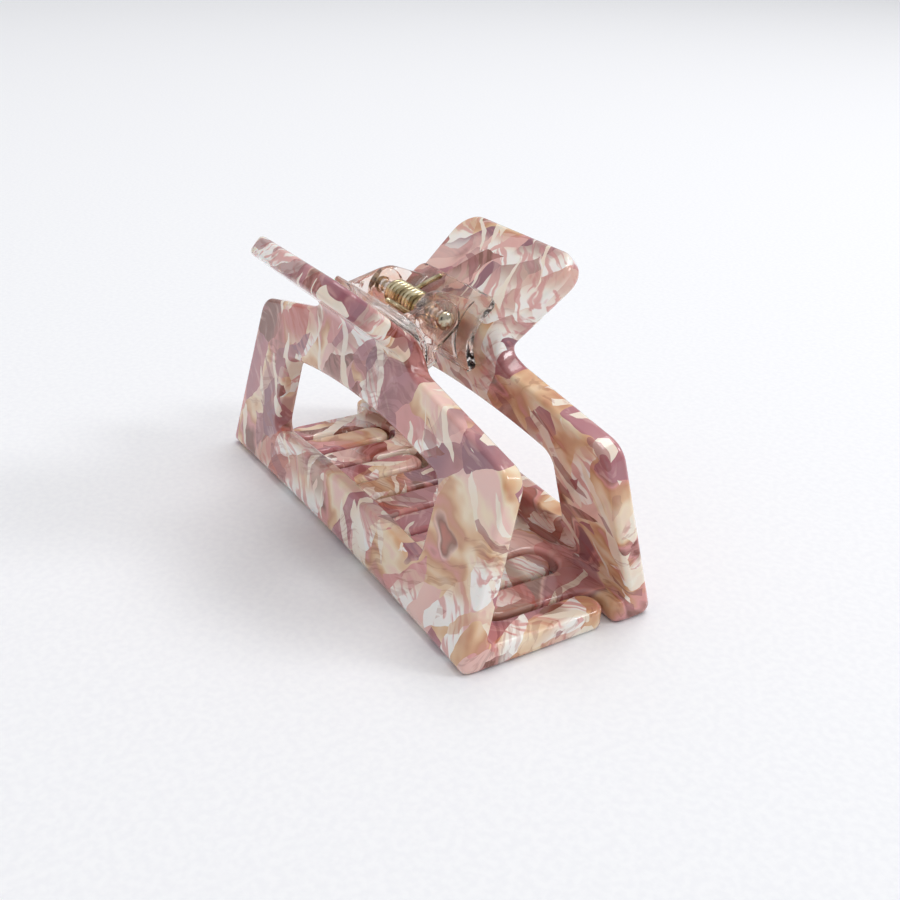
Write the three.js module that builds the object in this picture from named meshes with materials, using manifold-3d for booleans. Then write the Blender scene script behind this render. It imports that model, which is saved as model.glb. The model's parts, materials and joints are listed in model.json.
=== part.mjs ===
// Claw clip for hair: two bent acetate jaws, a clear two-piece hinge, a pin and a torsion spring.
//
// Millimetres. X runs along the hinge pin, Y across the jaws, Z up.
// The clip rests on the flat undersides of its teeth, which lie in the plane z = 0.
// "Out" is the distance from the middle plane y = 0, measured toward the jaw being built.

import * as THREE from 'three';
import { mergeVertices } from 'three/addons/utils/BufferGeometryUtils.js';
import Module from 'manifold-3d';

const wasm = await Module();
wasm.setup();

// ---------------------------------------------------------------- driving dimensions

const SHEET = 3.6;                // thickness of the acetate sheet
const CLEARANCE = 0.3;            // air left between neighbouring pieces

// Bent section of a jaw, outer face, in (out, z).
const FOOT_OUT = 17.4;            // where the outer face would meet the ground
const FOLD = [8.6, 35.0];         // where frame and handle would meet
const HANDLE_ANGLE = 40 * Math.PI / 180;
const HANDLE_LENGTH = 17.4;
const FOOT_RADIUS = 2.2;          // outside of the bend at the ground
const FOOT_INNER_RADIUS = 1.2;
const FOLD_RADIUS = 2.0;          // hollow side of the bend under the handle

// Outline of a jaw seen from the front, in (x, z).
const FOOT_HALF = 44;
const CORNER_HALF = 42.2;
const CORNER_HEIGHT = 29.6;
const ROOT_HALF = 14.8;
const ROOT_HEIGHT = 34.4;
const TIP_HALF = 17.2;
const FOOT_CORNER_RADIUS = 1.4;
const TOP_CORNER_RADIUS = 3.6;
const ROOT_FILLET = 4.5;
const TIP_CORNER_RADIUS = 4.2;
const NEAR_HANDLE_SHIFT = -4.0;   // the near jaw's handle sits this far toward the back end

// Window in the frame, in (x, distance up the outer face).
const WINDOW_HALF = 27.2;
const WINDOW_LOW = 9.7;
const WINDOW_LOW_RISE = 1.0;      // the sill is arched up this much at its middle
const WINDOW_HIGH = 23.4;
const WINDOW_HIGH_RISE = 2.3;     // and the lintel this much
const WINDOW_CORNER_RADIUS = 2.4;

// Comb of teeth on the ground.
const TOOTH_PITCH = 6.9;          // from one jaw's tooth to the next tooth of the other jaw
const TOOTH_GAP = 0.8;
const TOOTH_REACH = 8.6;          // how far a tooth passes the middle plane
const TOOTH_TIP_RADIUS = 2.9;
const SLOT_END_OUT = 9.9;         // bottom of the slots between teeth
const END_TOOTH = [38.35, 43.7];  // x of the wide tooth at the front end of the near jaw

// Hinge.
const PIN_HEIGHT = 39.1;
const PIN_RADIUS = 1.0;
const BORE_RADIUS = PIN_RADIUS + 0.15;
const HINGE_CENTRE = -2.0;        // the hinge sits a little toward the back end
const OUTER_LUG_RADIUS = 3.15;    // the near bracket's two lugs, outside the far bracket's
const INNER_LUG_RADIUS = 3.9;
const LUG_THICK = 1.5;
const OUTER_LUG = 8.75;           // inner side of the outer lugs, from the hinge centre
const INNER_LUG = 6.85;
const LUG_TOE = [[3.5, 30.6], [0.9, 32.2], [1.4, 33.8]];   // lower end of an outer lug, in (out, z)
const BASE_HALF = 11.6;           // half width of a bracket's glued base
const BASE_THICK = 1.5;
const BASE_UP = 6.6;              // how far the base climbs the handle from the fold
const BASE_DOWN = 6.6;            // and how far it runs down the frame
const BASE_CORNER_RADIUS = 1.6;
const BOSS_RADIUS = 2.3;
const BOSS_LENGTH = 1.1;
const HEAD_RADIUS = 1.55;
const HEAD_HEIGHT = 1.0;
const PEEN_RADIUS = 1.45;
const PEEN_HEIGHT = 0.5;

// Spring.
const WIRE_RADIUS = 0.45;
const COIL_RADIUS = 1.95;         // to the centre of the wire
const COIL_PITCH = 1.2;
const COIL_SLACK = 0.7;           // extra room between the coil and the back lug
const LEG_REACH = 6.95;           // each leg's tip, across from the pin's axis
const LEG_ANGLE = 35.5 * Math.PI / 180;   // a leg's rise from the bottom of the coil to its base
const NEAR_LEG_LEAN = -0.3;       // how far each tip leans along the pin
const FAR_LEG_LEAN = 2.5;

// ---------------------------------------------------------------- materials

const acetate = () => new THREE.MeshStandardMaterial({ color: 0xb98c88, roughness: 0.18 });
const clearPlastic = () => new THREE.MeshStandardMaterial({
  color: 0xf0d2c4, roughness: 0.08, transparent: true, opacity: 0.5 });
const brass = () => new THREE.MeshStandardMaterial({ color: 0xb9965c, roughness: 0.28, metalness: 1 });
const bronze = () => new THREE.MeshStandardMaterial({ color: 0xa08a66, roughness: 0.22, metalness: 1 });

// ---------------------------------------------------------------- small geometry helpers

const add = (a, b, k = 1) => [a[0] + b[0] * k, a[1] + b[1] * k];
const unit = (a, b) => {
  const length = Math.hypot(b[0] - a[0], b[1] - a[1]);
  return [(b[0] - a[0]) / length, (b[1] - a[1]) / length];
};
const leftOf = (d) => [-d[1], d[0]];

// Point where the line p + s*d meets the line q + t*e.
function crossing(p, d, q, e) {
  const det = d[0] * e[1] - d[1] * e[0];
  const s = ((q[0] - p[0]) * e[1] - (q[1] - p[1]) * e[0]) / det;
  return add(p, d, s);
}

// A path through the corners, each corner rounded by its own radius (0 leaves it sharp).
function rounded(corners, radii, closed = true, steps = 6) {
  const count = corners.length;
  const path = [];
  for (let i = 0; i < count; i++) {
    const open = !closed && (i === 0 || i === count - 1);
    if (open || radii[i] === 0) {
      path.push(corners[i]);
      continue;
    }
    const corner = corners[i];
    const back = unit(corner, corners[(i + count - 1) % count]);
    const ahead = unit(corner, corners[(i + 1) % count]);
    const half = Math.acos(back[0] * ahead[0] + back[1] * ahead[1]) / 2;
    const reach = radii[i] / Math.tan(half);
    const start = add(corner, back, reach);
    const end = add(corner, ahead, reach);
    const bisector = unit([0, 0], add(back, ahead));
    const centre = add(corner, bisector, radii[i] / Math.sin(half));
    const a0 = Math.atan2(start[1] - centre[1], start[0] - centre[0]);
    let sweep = Math.atan2(end[1] - centre[1], end[0] - centre[0]) - a0;
    if (sweep > Math.PI) sweep -= 2 * Math.PI;
    if (sweep < -Math.PI) sweep += 2 * Math.PI;
    for (let k = 0; k <= steps; k++) {
      const a = a0 + sweep * k / steps;
      path.push([centre[0] + radii[i] * Math.cos(a), centre[1] + radii[i] * Math.sin(a)]);
    }
  }
  return path;
}

const shapeOf = (path) => new THREE.Shape(path.map(([u, v]) => new THREE.Vector2(u, v)));

// Circle as a closed path.
function circle(radius, centre = [0, 0], sides = 40) {
  const path = [];
  for (let k = 0; k < sides; k++) {
    const a = 2 * Math.PI * k / sides;
    path.push([centre[0] + radius * Math.cos(a), centre[1] + radius * Math.sin(a)]);
  }
  return path;
}

// Prism of a path drawn in (u, v), pushed from w0 to w1 along the third axis.
// uAxis and vAxis say where u and v point; the push goes along their cross product.
function prism(path, w0, w1, uAxis, vAxis) {
  const geometry = new THREE.ExtrudeGeometry(shapeOf(path), { depth: w1 - w0, bevelEnabled: false });
  geometry.translate(0, 0, w0);
  const u = new THREE.Vector3(...uAxis);
  const v = new THREE.Vector3(...vAxis);
  geometry.applyMatrix4(new THREE.Matrix4().makeBasis(u, v, u.clone().cross(v)));
  return geometry;
}

function toSolid(geometry) {
  const plain = geometry.clone();
  plain.deleteAttribute('normal');
  plain.deleteAttribute('uv');
  const merged = mergeVertices(plain, 1e-4);
  return new wasm.Manifold(new wasm.Mesh({
    numProp: 3,
    vertProperties: new Float32Array(merged.attributes.position.array),
    triVerts: new Uint32Array(merged.index.array),
  }));
}

function toGeometry(solid) {
  const mesh = solid.getMesh();
  const geometry = new THREE.BufferGeometry();
  geometry.setAttribute('position', new THREE.BufferAttribute(new Float32Array(mesh.vertProperties), 3));
  geometry.setIndex(new THREE.BufferAttribute(new Uint32Array(mesh.triVerts), 1));
  geometry.computeVertexNormals();
  return geometry;
}

const cutter = (path, w0, w1, uAxis, vAxis) => toSolid(prism(path, w0, w1, uAxis, vAxis));

// ---------------------------------------------------------------- section of a jaw

const frameUp = unit([FOOT_OUT, 0], FOLD);
const frameIn = leftOf(frameUp);
const handleUp = [Math.cos(HANDLE_ANGLE), Math.sin(HANDLE_ANGLE)];
const handleIn = leftOf(handleUp);
const foldIn = crossing(add(FOLD, frameIn, SHEET), frameUp, add(FOLD, handleIn, SHEET), handleUp);
const footIn = crossing(add(FOLD, frameIn, SHEET), frameUp, [0, SHEET], [1, 0]);
const handleTip = add(FOLD, handleUp, HANDLE_LENGTH);

// Closed path of the sheet in (out, z): along the outer face, then back along the inner one.
function sheetSection() {
  const outer = rounded(
    [[-TOOTH_REACH, 0], [FOOT_OUT, 0], FOLD, handleTip], [0, FOOT_RADIUS, FOLD_RADIUS, 0], false, 8);
  const inner = rounded(
    [add(handleTip, handleIn, SHEET), foldIn, footIn, [-TOOTH_REACH, SHEET]],
    [0, FOLD_RADIUS + SHEET, FOOT_INNER_RADIUS, 0], false, 8);
  return [...outer, ...inner];
}

// ---------------------------------------------------------------- outline of a jaw

function frontOutline(handleShift) {
  const frame = [[FOOT_HALF, 0], [CORNER_HALF, CORNER_HEIGHT]];
  const handle = [[ROOT_HALF, ROOT_HEIGHT], [TIP_HALF, handleTip[1] + SHEET]];
  const shifted = (sign) => handle.map(([x, z]) => [sign * x + handleShift, z]);
  const half = [...frame, ...shifted(1)];
  const mirrored = [...frame.map(([x, z]) => [-x, z]), ...shifted(-1)].reverse();
  const radii = [FOOT_CORNER_RADIUS, TOP_CORNER_RADIUS, ROOT_FILLET, TIP_CORNER_RADIUS];
  return rounded([...half, ...mirrored], [...radii, ...radii.slice().reverse()]);
}

function windowOutline() {
  const steps = 12;
  const path = [];
  const arc = (low, rise, from, to) => {
    for (let k = 0; k <= steps; k++) {
      const x = from + (to - from) * k / steps;
      path.push([x, low + rise * (1 - (x / WINDOW_HALF) ** 2)]);
    }
  };
  arc(WINDOW_LOW, WINDOW_LOW_RISE, -WINDOW_HALF, WINDOW_HALF);
  arc(WINDOW_HIGH, WINDOW_HIGH_RISE, WINDOW_HALF, -WINDOW_HALF);
  const radii = path.map((p) => (Math.abs(p[0]) === WINDOW_HALF ? WINDOW_CORNER_RADIUS : 0));
  return rounded(path, radii);
}

// Centres of a jaw's regular teeth. The two combs are shifted by one pitch.
const toothCentres = (count) => {
  const list = [];
  for (let k = 0; k < count; k++) list.push((k - (count - 1) / 2) * 2 * TOOTH_PITCH);
  return list;
};

// Plan of what stays of the floor, in (x, out): the strip beside the bend plus the teeth.
function toothPlan(centre, width) {
  const side = width / 2;
  const tip = Math.min(TOOTH_TIP_RADIUS, side - 0.05);
  return rounded(
    [[centre - side, SLOT_END_OUT + 2], [centre - side, -TOOTH_REACH],
      [centre + side, -TOOTH_REACH], [centre + side, SLOT_END_OUT + 2]],
    [0, tip, tip, 0]);
}

// Slots are cut between neighbouring teeth, each with a rounded bottom.
function slotPlan(from, to) {
  const far = -TOOTH_REACH - 2;
  const radius = Math.min((to - from) / 2 - 0.05, 3.6);
  return rounded(
    [[from, far], [to, far], [to, SLOT_END_OUT], [from, SLOT_END_OUT]],
    [0, 0, radius, radius]);
}

// ---------------------------------------------------------------- jaws

// side is -1 for the near jaw and +1 for the far one.
function jaw(side, centres, endTooth, handleShift) {
  const outAxis = [0, side, 0];
  const up = [0, 0, 1];
  const width = TOOTH_PITCH - TOOTH_GAP;
  const reach = FOOT_HALF + 1;

  // The bent sheet, pushed along x. Its (out, z) section needs out x z to point along -side*x.
  let solid = cutter(sheetSection(), -FOOT_HALF, FOOT_HALF, outAxis, up);
  solid = solid.intersect(cutter(frontOutline(handleShift), -60, 60, [1, 0, 0], up));

  // The window is cut square to the frame.
  const tilt = [0, side * frameUp[0], frameUp[1]];
  const foot = new THREE.Vector3(0, side * FOOT_OUT, 0);
  const window = prism(windowOutline(), -12, 12, [1, 0, 0], tilt);
  window.translate(foot.x, foot.y, foot.z);
  solid = solid.subtract(toSolid(window));

  // Slots between the teeth, and the floor beyond the last teeth.
  const teeth = centres.map((c) => [c - width / 2, c + width / 2]);
  if (endTooth) teeth.push(endTooth);
  const edges = [-reach, ...teeth.flat(), reach];
  for (let i = 0; i < edges.length; i += 2) {
    const atEnd = i === edges.length - 2 && endTooth;
    if (!atEnd) {
      solid = solid.subtract(cutter(slotPlan(edges[i], edges[i + 1]), -2 * SHEET, 2 * SHEET, [1, 0, 0], outAxis));
    }
  }

  // Rounded tooth tips: keep only the plan of each tooth beyond the slot ends.
  let keep = cutter(
    [[-reach, SLOT_END_OUT - 6], [reach, SLOT_END_OUT - 6], [reach, 60], [-reach, 60]],
    -80, 80, [1, 0, 0], outAxis);
  for (const [from, to] of teeth) {
    keep = keep.add(cutter(toothPlan((from + to) / 2, to - from), -80, 80, [1, 0, 0], outAxis));
  }
  const floorOnly = cutter(
    [[-reach, -60], [reach, -60], [reach, SLOT_END_OUT], [-reach, SLOT_END_OUT]],
    -SHEET - 1, SHEET + 1, [1, 0, 0], outAxis);
  solid = solid.subtract(floorOnly.subtract(keep));
  return toGeometry(solid);
}

// ---------------------------------------------------------------- hinge brackets

// Path in (out, z) at a depth below the jaw's outer face, from down on the frame to up on the handle.
function alongJaw(depth, down, up) {
  const corner = crossing(add(FOLD, frameIn, depth), frameUp, add(FOLD, handleIn, depth), handleUp);
  const low = add(add(foldIn, frameUp, -down), frameIn, depth - SHEET);
  const high = add(add(foldIn, handleUp, up), handleIn, depth - SHEET);
  return rounded([low, corner, high], [0, FOLD_RADIUS + depth, 0], false, 8);
}

// Section of a bracket's base: it follows the inside of the jaw over the bend.
function baseSection() {
  const back = alongJaw(SHEET + CLEARANCE, BASE_DOWN, BASE_UP);
  const front = alongJaw(SHEET + CLEARANCE + BASE_THICK, BASE_DOWN, BASE_UP);
  return [...back, ...front.reverse()];
}

// Side view of one lug in (out, z): up the base, around the pin and back down, over the toe if it has one.
function lugSection(radius, toe) {
  const root = alongJaw(SHEET + CLEARANCE + BASE_THICK / 2, BASE_DOWN - 0.7, BASE_UP - 1.6);
  const tangentAngle = ([out, z], turn) => {
    const span = Math.hypot(out, z - PIN_HEIGHT);
    return Math.atan2(z - PIN_HEIGHT, out) + turn * Math.acos(radius / span);
  };
  const top = tangentAngle(root[root.length - 1], 1);
  const bottom = tangentAngle(toe.length ? toe[toe.length - 1] : root[0], -1) + 2 * Math.PI;
  const eye = [];
  const steps = 18;
  for (let k = 0; k <= steps; k++) {
    const a = top + (bottom - top) * k / steps;
    eye.push([radius * Math.cos(a), PIN_HEIGHT + radius * Math.sin(a)]);
  }
  return [...root, ...eye, ...toe.slice().reverse()];
}

// Along x, the span of a piece given for the side whose x axis points at +x.
function bracket(side, lugStart, lugRadius, toe, bossLength) {
  const outAxis = [0, side, 0];
  const up = [0, 0, 1];
  // Pushing (out, z) sections goes along side * x, so spans are mirrored for the near jaw.
  const along = (x0, x1) => (side > 0 ? [x0, x1] : [-x1, -x0]);
  const push = (path, x0, x1) => cutter(path, ...along(x0, x1), outAxis, up);
  const left = HINGE_CENTRE - BASE_HALF;
  const right = HINGE_CENTRE + BASE_HALF;

  let solid = push(baseSection(), left, right);

  // Rounded corners of the base, seen square to the handle and square to the frame.
  const face = (low, high, tilt) => {
    const plate = prism(
      rounded([[left, low], [right, low], [right, high], [left, high]],
        [low < 0 ? BASE_CORNER_RADIUS : 0, low < 0 ? BASE_CORNER_RADIUS : 0,
          BASE_CORNER_RADIUS, BASE_CORNER_RADIUS]), -20, 20, [1, 0, 0], tilt);
    return plate;
  };
  const tilted = face(-BASE_DOWN - 6, BASE_UP, [0, side * handleUp[0], handleUp[1]]);
  tilted.translate(0, side * foldIn[0], foldIn[1]);
  solid = solid.intersect(toSolid(tilted));
  const lower = face(-BASE_DOWN, 30, [0, side * frameUp[0], frameUp[1]]);
  lower.translate(0, side * foldIn[0], foldIn[1]);
  solid = solid.intersect(toSolid(lower));

  const starts = [HINGE_CENTRE + lugStart, HINGE_CENTRE - lugStart - LUG_THICK];
  for (const x of starts) solid = solid.add(push(lugSection(lugRadius, toe), x, x + LUG_THICK));
  if (bossLength > 0) {
    const eye = circle(BOSS_RADIUS, [0, PIN_HEIGHT]);
    solid = solid.add(push(eye, starts[0] - bossLength, starts[0] + 0.4));
  }
  const bore = circle(BORE_RADIUS, [0, PIN_HEIGHT]);
  solid = solid.subtract(push(bore, left - 5, right + 5));
  return toGeometry(solid);
}

// ---------------------------------------------------------------- pin and spring

function pin() {
  const outerFace = OUTER_LUG + LUG_THICK + CLEARANCE;
  const front = HINGE_CENTRE + outerFace;
  const back = HINGE_CENTRE - outerFace;
  // Profile in (radius, x), starting and ending on the axis.
  const profile = [[0, back - PEEN_HEIGHT], [PEEN_RADIUS * 0.7, back - PEEN_HEIGHT],
    [PEEN_RADIUS, back - PEEN_HEIGHT * 0.4], [PEEN_RADIUS, back], [PIN_RADIUS, back],
    [PIN_RADIUS, front], [HEAD_RADIUS, front], [HEAD_RADIUS, front + 0.2]];
  const steps = 7;
  for (let k = 1; k <= steps; k++) {
    const a = Math.PI / 2 * k / steps;
    profile.push([
      k === steps ? 0 : HEAD_RADIUS * Math.cos(a),
      front + 0.2 + (HEAD_HEIGHT - 0.2) * Math.sin(a)]);
  }
  const geometry = new THREE.LatheGeometry(profile.map(([r, x]) => new THREE.Vector2(r, x)), 40);
  geometry.rotateZ(-Math.PI / 2);
  geometry.translate(0, 0, PIN_HEIGHT);
  return geometry;
}

// Path of the wire: leg on the near jaw's bracket at the front, coils, leg on the far jaw's at the back.
// Each leg touches the underside of the coil and rises to its bracket's base.
function springPath() {
  const front = HINGE_CENTRE + INNER_LUG - BOSS_LENGTH - CLEARANCE - WIRE_RADIUS;
  const back = HINGE_CENTRE - INNER_LUG + CLEARANCE + WIRE_RADIUS + COIL_SLACK;
  const turns = Math.round((front - back) / COIL_PITCH);
  const touch = COIL_RADIUS * Math.sin(LEG_ANGLE);
  const low = PIN_HEIGHT - COIL_RADIUS * Math.cos(LEG_ANGLE);
  const leg = (x, side, lean, share) => {
    const run = (LEG_REACH - touch) * share;
    return new THREE.Vector3(x + lean * share ** 2, side * (touch + run), low + run * Math.tan(LEG_ANGLE));
  };
  const points = [1, 0.75, 0.5, 0.2].map((share) => leg(front, -1, NEAR_LEG_LEAN, share));
  const start = -Math.PI / 2 - LEG_ANGLE;
  const sweep = 2 * Math.PI * turns + 2 * LEG_ANGLE;
  const steps = turns * 16;
  for (let k = 0; k <= steps; k++) {
    const angle = start + sweep * k / steps;
    points.push(new THREE.Vector3(
      front + (back - front) * k / steps,
      COIL_RADIUS * Math.cos(angle), PIN_HEIGHT + COIL_RADIUS * Math.sin(angle)));
  }
  points.push(...[0.2, 0.5, 0.75, 1].map((share) => leg(back, 1, FAR_LEG_LEAN, share)));
  return new THREE.CatmullRomCurve3(points, false, 'centripetal');
}

function spring() {
  const path = springPath();
  const section = shapeOf(circle(WIRE_RADIUS, [0, 0], 8));
  return new THREE.ExtrudeGeometry(section, { steps: 220, extrudePath: path, bevelEnabled: false });
}

// ---------------------------------------------------------------- assembly

const group = new THREE.Group();
group.name = 'claw_clip';

function place(name, geometry, material) {
  const mesh = new THREE.Mesh(geometry, material);
  mesh.name = name;
  group.add(mesh);
}

place('jaw_near', jaw(-1, toothCentres(5), END_TOOTH, NEAR_HANDLE_SHIFT), acetate());
place('jaw_far', jaw(1, toothCentres(6), null, 0), acetate());
place('bracket_near', bracket(-1, OUTER_LUG, OUTER_LUG_RADIUS, LUG_TOE, 0), clearPlastic());
place('bracket_far', bracket(1, INNER_LUG, INNER_LUG_RADIUS, [], BOSS_LENGTH), clearPlastic());
place('hinge_pin', pin(), bronze());
place('spring', spring(), brass());

export default group;
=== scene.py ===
"""A claw clip for hair: two bent acetate jaws, a clear two-piece hinge, a pin and a torsion spring.

Metres, in the frame of the CAD model: X runs along the hinge pin, Y across the jaws, Z up. Sizes of the
pieces are dataclass fields in millimetres, and a mesh is turned to metres when it is made.
"""

import json
import logging
import math
from dataclasses import dataclass, field
from enum import Enum
from typing import Protocol

import bpy
import numpy as np
from mathutils import Matrix, Vector
from mathutils.geometry import delaunay_2d_cdt


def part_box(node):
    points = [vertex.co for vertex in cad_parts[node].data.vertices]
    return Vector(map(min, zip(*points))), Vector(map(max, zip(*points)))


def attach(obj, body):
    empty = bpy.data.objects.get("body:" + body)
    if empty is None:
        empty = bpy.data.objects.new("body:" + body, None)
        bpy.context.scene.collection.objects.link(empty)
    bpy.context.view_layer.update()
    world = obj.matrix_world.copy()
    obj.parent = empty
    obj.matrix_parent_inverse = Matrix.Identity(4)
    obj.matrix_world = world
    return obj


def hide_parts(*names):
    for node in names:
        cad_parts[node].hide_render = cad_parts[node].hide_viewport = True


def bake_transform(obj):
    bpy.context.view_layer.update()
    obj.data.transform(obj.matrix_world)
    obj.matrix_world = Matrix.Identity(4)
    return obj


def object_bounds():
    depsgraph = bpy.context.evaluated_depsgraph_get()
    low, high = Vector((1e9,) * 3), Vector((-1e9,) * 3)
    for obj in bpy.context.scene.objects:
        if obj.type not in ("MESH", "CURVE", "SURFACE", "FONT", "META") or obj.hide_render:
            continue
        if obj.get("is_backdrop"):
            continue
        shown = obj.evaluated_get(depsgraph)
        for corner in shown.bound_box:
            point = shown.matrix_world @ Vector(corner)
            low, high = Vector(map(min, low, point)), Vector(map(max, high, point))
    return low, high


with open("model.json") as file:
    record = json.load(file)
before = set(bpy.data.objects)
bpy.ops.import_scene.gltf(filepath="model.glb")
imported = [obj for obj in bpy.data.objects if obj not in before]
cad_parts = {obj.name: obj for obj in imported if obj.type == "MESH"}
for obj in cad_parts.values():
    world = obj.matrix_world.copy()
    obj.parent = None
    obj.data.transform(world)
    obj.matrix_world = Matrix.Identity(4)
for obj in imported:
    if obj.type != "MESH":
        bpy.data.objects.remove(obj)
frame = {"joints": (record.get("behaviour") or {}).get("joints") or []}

MM = 0.001
LOG = logging.getLogger("claw_clip")

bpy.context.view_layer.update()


class Side(Enum):
    """Which jaw a piece belongs to, with the way that jaw's outside faces along Y."""

    NEAR = -1
    FAR = 1


class Slot(str, Enum):
    """The record's material slots."""

    ACETATE = "acetate"
    CLEAR = "clear_plastic"
    BRASS = "brass_wire"
    BRONZE = "bronze"


# ---------------------------------------------------------------------------- flat outlines


def rounded_corners(corners: np.ndarray, radii: np.ndarray, steps: int = 10) -> np.ndarray:
    """A closed path with every corner turned into an arc that touches both of its sides.

    The arc's centre lies on the corner's bisector, radius / sin(half the corner's angle) away from it.

    Args:
        corners: Corner points, one row each.
        radii: Radius of each corner's arc.
        steps: Spans along each arc.

    Returns:
        The points of the path, in order.
    """
    back = np.roll(corners, 1, axis=0) - corners
    ahead = np.roll(corners, -1, axis=0) - corners
    back /= np.linalg.norm(back, axis=1, keepdims=True)
    ahead /= np.linalg.norm(ahead, axis=1, keepdims=True)
    half = np.arccos(np.clip((back * ahead).sum(1), -1, 1)) / 2
    bisector = back + ahead
    bisector /= np.maximum(np.linalg.norm(bisector, axis=1, keepdims=True), 1e-9)
    centre = corners + bisector * (radii / np.sin(half))[:, None]
    first = corners + back * (radii / np.tan(half))[:, None] - centre
    last = corners + ahead * (radii / np.tan(half))[:, None] - centre
    start = np.arctan2(first[:, 1], first[:, 0])
    sweep = np.arctan2(last[:, 1], last[:, 0]) - start
    sweep = (sweep + math.pi) % (2 * math.pi) - math.pi
    angle = start[:, None] + sweep[:, None] * np.linspace(0, 1, steps + 1)
    arcs = centre[:, None, :] + radii[:, None, None] * np.stack([np.cos(angle), np.sin(angle)], axis=2)
    return arcs.reshape(-1, 2)


def evenly_spaced(path: np.ndarray, spacing: float) -> np.ndarray:
    """The same closed path with its points about one spacing apart.

    Args:
        path: Points of a closed path.
        spacing: Wanted distance between points.

    Returns:
        Points at equal distances along the path.
    """
    closed = np.vstack([path, path[:1]])
    length = np.concatenate([[0.0], np.cumsum(np.linalg.norm(np.diff(closed, axis=0), axis=1))])
    count = max(8, int(round(length[-1] / spacing)))
    place = np.linspace(0, length[-1], count, endpoint=False)
    return np.stack([np.interp(place, length, closed[:, k]) for k in (0, 1)], axis=1)


def outward(loop: np.ndarray) -> np.ndarray:
    """Unit normals of a closed loop: to the right of the way it runs."""
    along = np.roll(loop, -1, axis=0) - np.roll(loop, 1, axis=0)
    normal = np.stack([along[:, 1], -along[:, 0]], axis=1)
    return normal / np.linalg.norm(normal, axis=1, keepdims=True)


def inside(points: np.ndarray, loop: np.ndarray) -> np.ndarray:
    """Whether each point lies in a closed loop, by counting the loop's sides that a ray along +x crosses."""
    a, b = loop, np.roll(loop, -1, axis=0)
    u, v = points[:, :1], points[:, 1:]
    straddles = (a[:, 1] > v) != (b[:, 1] > v)
    rise = np.where(b[:, 1] == a[:, 1], 1e-12, b[:, 1] - a[:, 1])
    at = a[:, 0] + (v - a[:, 1]) * (b[:, 0] - a[:, 0]) / rise
    return (straddles & (u < at)).sum(1) % 2 == 1


def circle(radius: float, centre: tuple[float, float], sides: int) -> np.ndarray:
    """Points round a circle, anticlockwise."""
    angle = np.linspace(0, 2 * math.pi, sides, endpoint=False)
    return np.stack([centre[0] + radius * np.cos(angle), centre[1] + radius * np.sin(angle)], axis=1)


# ---------------------------------------------------------------------------- carrying a flat piece


class Carrier(Protocol):
    """Takes points of a flat piece, (across, along, depth), to their place on the clip."""

    def carry(self, flat: np.ndarray) -> np.ndarray:
        """Places of flat points, all in millimetres."""
        ...


@dataclass(frozen=True)
class JawSection:
    """The bent section of a jaw in (out, z), where out is the distance from the clip's middle plane."""

    sheet: float = 3.6
    foot_out: float = 17.4
    fold: tuple[float, float] = (8.6, 35.0)
    handle_tilt: float = math.radians(40)
    handle_length: float = 17.4
    foot_radius_middle: float = 2.5
    foot_radius_ends: float = 1.3
    foot_inner_radius: float = 1.2
    fold_radius: float = 2.0
    tooth_reach: float = 8.6
    half_length: float = 44.0


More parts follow.
